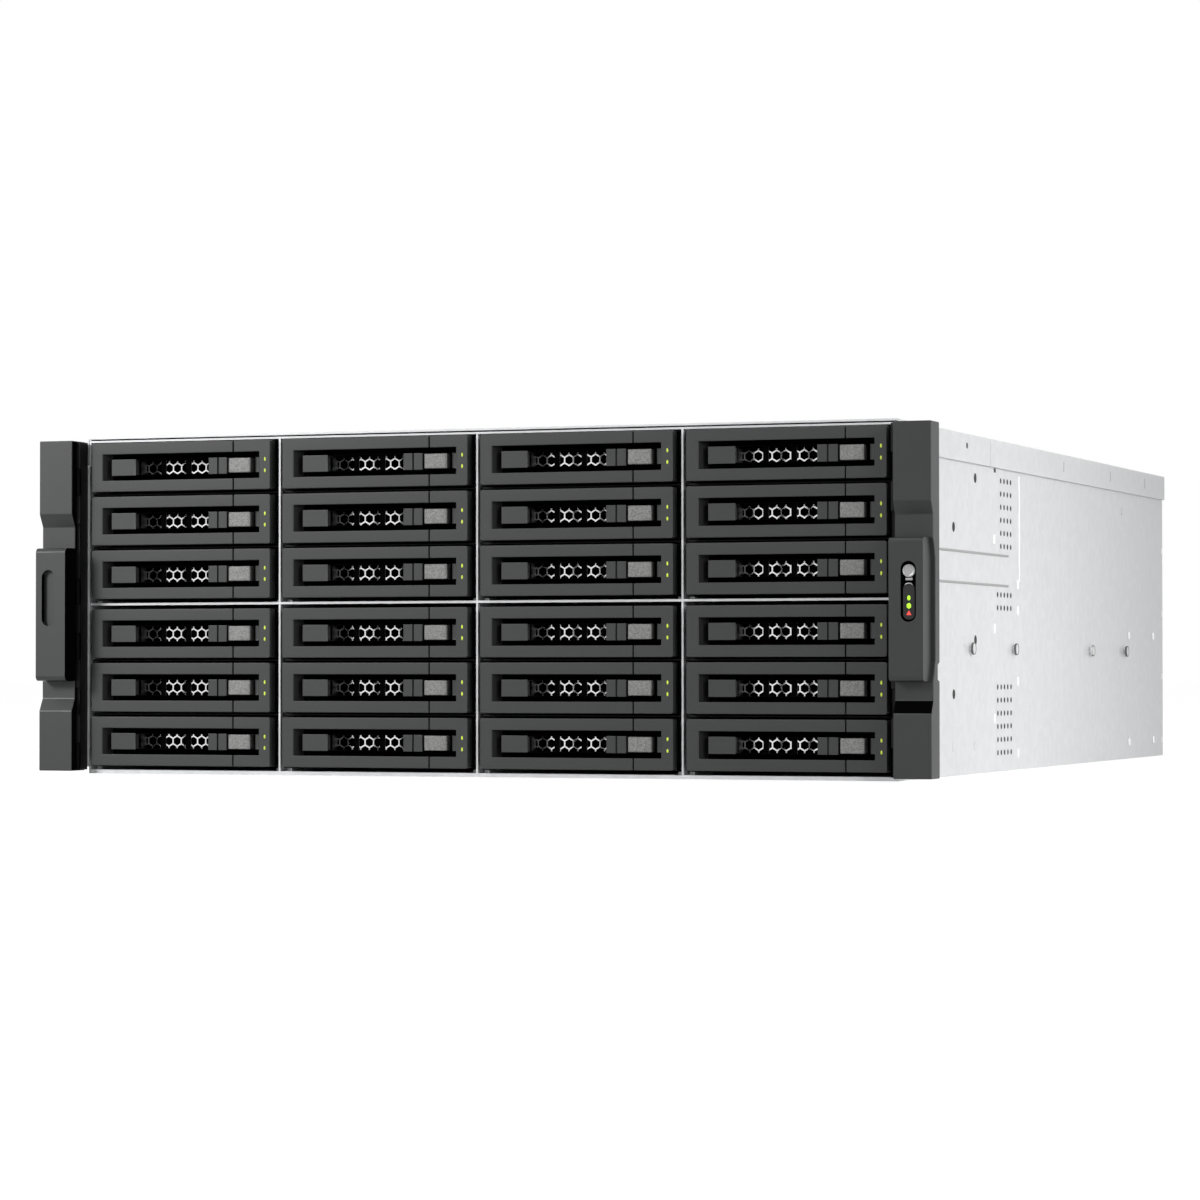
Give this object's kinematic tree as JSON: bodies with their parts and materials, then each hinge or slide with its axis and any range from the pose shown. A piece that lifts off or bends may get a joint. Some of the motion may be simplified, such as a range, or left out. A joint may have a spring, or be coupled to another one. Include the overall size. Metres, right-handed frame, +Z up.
{
  "type": "disk shelf enclosure",
  "caption": "Rack-mount disk shelf: steel chassis and cage with sliding drive trays on hinged levers, moulded ears, slide-in power supplies and rear fans.",
  "frame": {"origin": "under the middle of the whole shelf, handles and supply grips included, on the plane of the underside", "axes": "+X to the right seen from the front, +Y to the rear, +Z up"},
  "size_m": [0.4826, 0.6512, 0.176],
  "materials": {
    "galvanised_steel": "bare galvanised sheet, satin",
    "ear_plastic": "fine-grained black moulding",
    "tray_plastic": "fine-grained charcoal moulding; disks, screens and release tabs are part of the node",
    "lever_plastic": "fine-grained charcoal moulding",
    "button_metal": "satin silver",
    "circuit_board": "green solder mask",
    "supply_steel": "plain steel case",
    "fan_plastic": "black glass-filled plastic"
  },
  "bodies": {
    "shelf": {"chassis": "galvanised_steel", "drive_cage": "galvanised_steel", "top_covers": "galvanised_steel", "left_ear": "ear_plastic", "right_ear": "ear_plastic", "circuit_boards": "circuit_board", "fan_frames": "fan_plastic"},
    "power_button": {"power_button": "button_metal"},
    "psu_left": {"psu_left": "supply_steel"},
    "psu_right": {"psu_right": "supply_steel"},
    "fan_rotor_left": {"fan_rotor_left": "fan_plastic"},
    "fan_rotor_right": {"fan_rotor_right": "fan_plastic"},
    "tray_r1c1": {"tray_r1c1": "tray_plastic"},
    "lever_r1c1": {"lever_r1c1": "lever_plastic"},
    "tray_r2c1": {"tray_r2c1": "tray_plastic"},
    "lever_r2c1": {"lever_r2c1": "lever_plastic"},
    "tray_r3c1": {"tray_r3c1": "tray_plastic"},
    "lever_r3c1": {"lever_r3c1": "lever_plastic"},
    "tray_r4c1": {"tray_r4c1": "tray_plastic"},
    "lever_r4c1": {"lever_r4c1": "lever_plastic"},
    "tray_r5c1": {"tray_r5c1": "tray_plastic"},
    "lever_r5c1": {"lever_r5c1": "lever_plastic"},
    "tray_r6c1": {"tray_r6c1": "tray_plastic"},
    "lever_r6c1": {"lever_r6c1": "lever_plastic"},
    "tray_r1c2": {"tray_r1c2": "tray_plastic"},
    "lever_r1c2": {"lever_r1c2": "lever_plastic"},
    "tray_r2c2": {"tray_r2c2": "tray_plastic"},
    "lever_r2c2": {"lever_r2c2": "lever_plastic"},
    "tray_r3c2": {"tray_r3c2": "tray_plastic"},
    "lever_r3c2": {"lever_r3c2": "lever_plastic"},
    "tray_r4c2": {"tray_r4c2": "tray_plastic"},
    "lever_r4c2": {"lever_r4c2": "lever_plastic"},
    "tray_r5c2": {"tray_r5c2": "tray_plastic"},
    "lever_r5c2": {"lever_r5c2": "lever_plastic"},
    "tray_r6c2": {"tray_r6c2": "tray_plastic"},
    "lever_r6c2": {"lever_r6c2": "lever_plastic"},
    "tray_r1c3": {"tray_r1c3": "tray_plastic"},
    "lever_r1c3": {"lever_r1c3": "lever_plastic"},
    "tray_r2c3": {"tray_r2c3": "tray_plastic"},
    "lever_r2c3": {"lever_r2c3": "lever_plastic"},
    "tray_r3c3": {"tray_r3c3": "tray_plastic"},
    "lever_r3c3": {"lever_r3c3": "lever_plastic"},
    "tray_r4c3": {"tray_r4c3": "tray_plastic"},
    "lever_r4c3": {"lever_r4c3": "lever_plastic"},
    "tray_r5c3": {"tray_r5c3": "tray_plastic"},
    "lever_r5c3": {"lever_r5c3": "lever_plastic"},
    "tray_r6c3": {"tray_r6c3": "tray_plastic"},
    "lever_r6c3": {"lever_r6c3": "lever_plastic"},
    "tray_r1c4": {"tray_r1c4": "tray_plastic"},
    "lever_r1c4": {"lever_r1c4": "lever_plastic"},
    "tray_r2c4": {"tray_r2c4": "tray_plastic"},
    "lever_r2c4": {"lever_r2c4": "lever_plastic"},
    "tray_r3c4": {"tray_r3c4": "tray_plastic"},
    "lever_r3c4": {"lever_r3c4": "lever_plastic"},
    "tray_r4c4": {"tray_r4c4": "tray_plastic"},
    "lever_r4c4": {"lever_r4c4": "lever_plastic"},
    "tray_r5c4": {"tray_r5c4": "tray_plastic"},
    "lever_r5c4": {"lever_r5c4": "lever_plastic"},
    "tray_r6c4": {"tray_r6c4": "tray_plastic"},
    "lever_r6c4": {"lever_r6c4": "lever_plastic"}
  },
  "joints": [
    {"name": "tray_r1c1_slide", "type": "slide", "parent": "shelf", "child": "tray_r1c1", "axis": [0, -1, 0], "range_m": [0, 0.165]},
    {"name": "lever_r1c1_hinge", "type": "hinge", "parent": "tray_r1c1", "child": "lever_r1c1", "pos_m": [-0.21365, -0.3039, 0.01705], "axis": [0, 0, -1], "range_deg": [0, 70]},
    {"name": "tray_r2c1_slide", "type": "slide", "parent": "shelf", "child": "tray_r2c1", "axis": [0, -1, 0], "range_m": [0, 0.165]},
    {"name": "lever_r2c1_hinge", "type": "hinge", "parent": "tray_r2c1", "child": "lever_r2c1", "pos_m": [-0.21365, -0.3039, 0.04505], "axis": [0, 0, -1], "range_deg": [0, 70]},
    {"name": "tray_r3c1_slide", "type": "slide", "parent": "shelf", "child": "tray_r3c1", "axis": [0, -1, 0], "range_m": [0, 0.165]},
    {"name": "lever_r3c1_hinge", "type": "hinge", "parent": "tray_r3c1", "child": "lever_r3c1", "pos_m": [-0.21365, -0.3039, 0.07305], "axis": [0, 0, -1], "range_deg": [0, 70]},
    {"name": "tray_r4c1_slide", "type": "slide", "parent": "shelf", "child": "tray_r4c1", "axis": [0, -1, 0], "range_m": [0, 0.165]},
    {"name": "lever_r4c1_hinge", "type": "hinge", "parent": "tray_r4c1", "child": "lever_r4c1", "pos_m": [-0.21365, -0.3039, 0.10385], "axis": [0, 0, -1], "range_deg": [0, 70]},
    {"name": "tray_r5c1_slide", "type": "slide", "parent": "shelf", "child": "tray_r5c1", "axis": [0, -1, 0], "range_m": [0, 0.165]},
    {"name": "lever_r5c1_hinge", "type": "hinge", "parent": "tray_r5c1", "child": "lever_r5c1", "pos_m": [-0.21365, -0.3039, 0.13185], "axis": [0, 0, -1], "range_deg": [0, 70]},
    {"name": "tray_r6c1_slide", "type": "slide", "parent": "shelf", "child": "tray_r6c1", "axis": [0, -1, 0], "range_m": [0, 0.165]},
    {"name": "lever_r6c1_hinge", "type": "hinge", "parent": "tray_r6c1", "child": "lever_r6c1", "pos_m": [-0.21365, -0.3039, 0.15985], "axis": [0, 0, -1], "range_deg": [0, 70]},
    {"name": "tray_r1c2_slide", "type": "slide", "parent": "shelf", "child": "tray_r1c2", "axis": [0, -1, 0], "range_m": [0, 0.165]},
    {"name": "lever_r1c2_hinge", "type": "hinge", "parent": "tray_r1c2", "child": "lever_r1c2", "pos_m": [-0.10382, -0.3039, 0.01705], "axis": [0, 0, -1], "range_deg": [0, 70]},
    {"name": "tray_r2c2_slide", "type": "slide", "parent": "shelf", "child": "tray_r2c2", "axis": [0, -1, 0], "range_m": [0, 0.165]},
    {"name": "lever_r2c2_hinge", "type": "hinge", "parent": "tray_r2c2", "child": "lever_r2c2", "pos_m": [-0.10382, -0.3039, 0.04505], "axis": [0, 0, -1], "range_deg": [0, 70]},
    {"name": "tray_r3c2_slide", "type": "slide", "parent": "shelf", "child": "tray_r3c2", "axis": [0, -1, 0], "range_m": [0, 0.165]},
    {"name": "lever_r3c2_hinge", "type": "hinge", "parent": "tray_r3c2", "child": "lever_r3c2", "pos_m": [-0.10382, -0.3039, 0.07305], "axis": [0, 0, -1], "range_deg": [0, 70]},
    {"name": "tray_r4c2_slide", "type": "slide", "parent": "shelf", "child": "tray_r4c2", "axis": [0, -1, 0], "range_m": [0, 0.165]},
    {"name": "lever_r4c2_hinge", "type": "hinge", "parent": "tray_r4c2", "child": "lever_r4c2", "pos_m": [-0.10382, -0.3039, 0.10385], "axis": [0, 0, -1], "range_deg": [0, 70]},
    {"name": "tray_r5c2_slide", "type": "slide", "parent": "shelf", "child": "tray_r5c2", "axis": [0, -1, 0], "range_m": [0, 0.165]},
    {"name": "lever_r5c2_hinge", "type": "hinge", "parent": "tray_r5c2", "child": "lever_r5c2", "pos_m": [-0.10382, -0.3039, 0.13185], "axis": [0, 0, -1], "range_deg": [0, 70]},
    {"name": "tray_r6c2_slide", "type": "slide", "parent": "shelf", "child": "tray_r6c2", "axis": [0, -1, 0], "range_m": [0, 0.165]},
    {"name": "lever_r6c2_hinge", "type": "hinge", "parent": "tray_r6c2", "child": "lever_r6c2", "pos_m": [-0.10382, -0.3039, 0.15985], "axis": [0, 0, -1], "range_deg": [0, 70]},
    {"name": "tray_r1c3_slide", "type": "slide", "parent": "shelf", "child": "tray_r1c3", "axis": [0, -1, 0], "range_m": [0, 0.165]},
    {"name": "lever_r1c3_hinge", "type": "hinge", "parent": "tray_r1c3", "child": "lever_r1c3", "pos_m": [0.00602, -0.3039, 0.01705], "axis": [0, 0, -1], "range_deg": [0, 70]},
    {"name": "tray_r2c3_slide", "type": "slide", "parent": "shelf", "child": "tray_r2c3", "axis": [0, -1, 0], "range_m": [0, 0.165]},
    {"name": "lever_r2c3_hinge", "type": "hinge", "parent": "tray_r2c3", "child": "lever_r2c3", "pos_m": [0.00602, -0.3039, 0.04505], "axis": [0, 0, -1], "range_deg": [0, 70]},
    {"name": "tray_r3c3_slide", "type": "slide", "parent": "shelf", "child": "tray_r3c3", "axis": [0, -1, 0], "range_m": [0, 0.165]},
    {"name": "lever_r3c3_hinge", "type": "hinge", "parent": "tray_r3c3", "child": "lever_r3c3", "pos_m": [0.00602, -0.3039, 0.07305], "axis": [0, 0, -1], "range_deg": [0, 70]},
    {"name": "tray_r4c3_slide", "type": "slide", "parent": "shelf", "child": "tray_r4c3", "axis": [0, -1, 0], "range_m": [0, 0.165]},
    {"name": "lever_r4c3_hinge", "type": "hinge", "parent": "tray_r4c3", "child": "lever_r4c3", "pos_m": [0.00602, -0.3039, 0.10385], "axis": [0, 0, -1], "range_deg": [0, 70]},
    {"name": "tray_r5c3_slide", "type": "slide", "parent": "shelf", "child": "tray_r5c3", "axis": [0, -1, 0], "range_m": [0, 0.165]},
    {"name": "lever_r5c3_hinge", "type": "hinge", "parent": "tray_r5c3", "child": "lever_r5c3", "pos_m": [0.00602, -0.3039, 0.13185], "axis": [0, 0, -1], "range_deg": [0, 70]},
    {"name": "tray_r6c3_slide", "type": "slide", "parent": "shelf", "child": "tray_r6c3", "axis": [0, -1, 0], "range_m": [0, 0.165]},
    {"name": "lever_r6c3_hinge", "type": "hinge", "parent": "tray_r6c3", "child": "lever_r6c3", "pos_m": [0.00602, -0.3039, 0.15985], "axis": [0, 0, -1], "range_deg": [0, 70]},
    {"name": "tray_r1c4_slide", "type": "slide", "parent": "shelf", "child": "tray_r1c4", "axis": [0, -1, 0], "range_m": [0, 0.165]},
    {"name": "lever_r1c4_hinge", "type": "hinge", "parent": "tray_r1c4", "child": "lever_r1c4", "pos_m": [0.11585, -0.3039, 0.01705], "axis": [0, 0, -1], "range_deg": [0, 70]},
    {"name": "tray_r2c4_slide", "type": "slide", "parent": "shelf", "child": "tray_r2c4", "axis": [0, -1, 0], "range_m": [0, 0.165]},
    {"name": "lever_r2c4_hinge", "type": "hinge", "parent": "tray_r2c4", "child": "lever_r2c4", "pos_m": [0.11585, -0.3039, 0.04505], "axis": [0, 0, -1], "range_deg": [0, 70]},
    {"name": "tray_r3c4_slide", "type": "slide", "parent": "shelf", "child": "tray_r3c4", "axis": [0, -1, 0], "range_m": [0, 0.165]},
    {"name": "lever_r3c4_hinge", "type": "hinge", "parent": "tray_r3c4", "child": "lever_r3c4", "pos_m": [0.11585, -0.3039, 0.07305], "axis": [0, 0, -1], "range_deg": [0, 70]},
    {"name": "tray_r4c4_slide", "type": "slide", "parent": "shelf", "child": "tray_r4c4", "axis": [0, -1, 0], "range_m": [0, 0.165]},
    {"name": "lever_r4c4_hinge", "type": "hinge", "parent": "tray_r4c4", "child": "lever_r4c4", "pos_m": [0.11585, -0.3039, 0.10385], "axis": [0, 0, -1], "range_deg": [0, 70]},
    {"name": "tray_r5c4_slide", "type": "slide", "parent": "shelf", "child": "tray_r5c4", "axis": [0, -1, 0], "range_m": [0, 0.165]},
    {"name": "lever_r5c4_hinge", "type": "hinge", "parent": "tray_r5c4", "child": "lever_r5c4", "pos_m": [0.11585, -0.3039, 0.13185], "axis": [0, 0, -1], "range_deg": [0, 70]},
    {"name": "tray_r6c4_slide", "type": "slide", "parent": "shelf", "child": "tray_r6c4", "axis": [0, -1, 0], "range_m": [0, 0.165]},
    {"name": "lever_r6c4_hinge", "type": "hinge", "parent": "tray_r6c4", "child": "lever_r6c4", "pos_m": [0.11585, -0.3039, 0.15985], "axis": [0, 0, -1], "range_deg": [0, 70]},
    {"name": "power_button_press", "type": "slide", "parent": "shelf", "child": "power_button", "axis": [0, 1, 0], "range_m": [0, 0.0015], "stiffness_N_per_m": 600},
    {"name": "psu_left_slide", "type": "slide", "parent": "shelf", "child": "psu_left", "axis": [0, 1, 0], "range_m": [0, 0.18]},
    {"name": "fan_left_spin", "type": "hinge", "parent": "shelf", "child": "fan_rotor_left", "pos_m": [-0.05, 0.2859, 0.112], "axis": [0, 1, 0], "continuous": true},
    {"name": "psu_right_slide", "type": "slide", "parent": "shelf", "child": "psu_right", "axis": [0, 1, 0], "range_m": [0, 0.18]},
    {"name": "fan_right_spin", "type": "hinge", "parent": "shelf", "child": "fan_rotor_right", "pos_m": [0.05, 0.2859, 0.112], "axis": [0, 1, 0], "continuous": true}
  ]
}
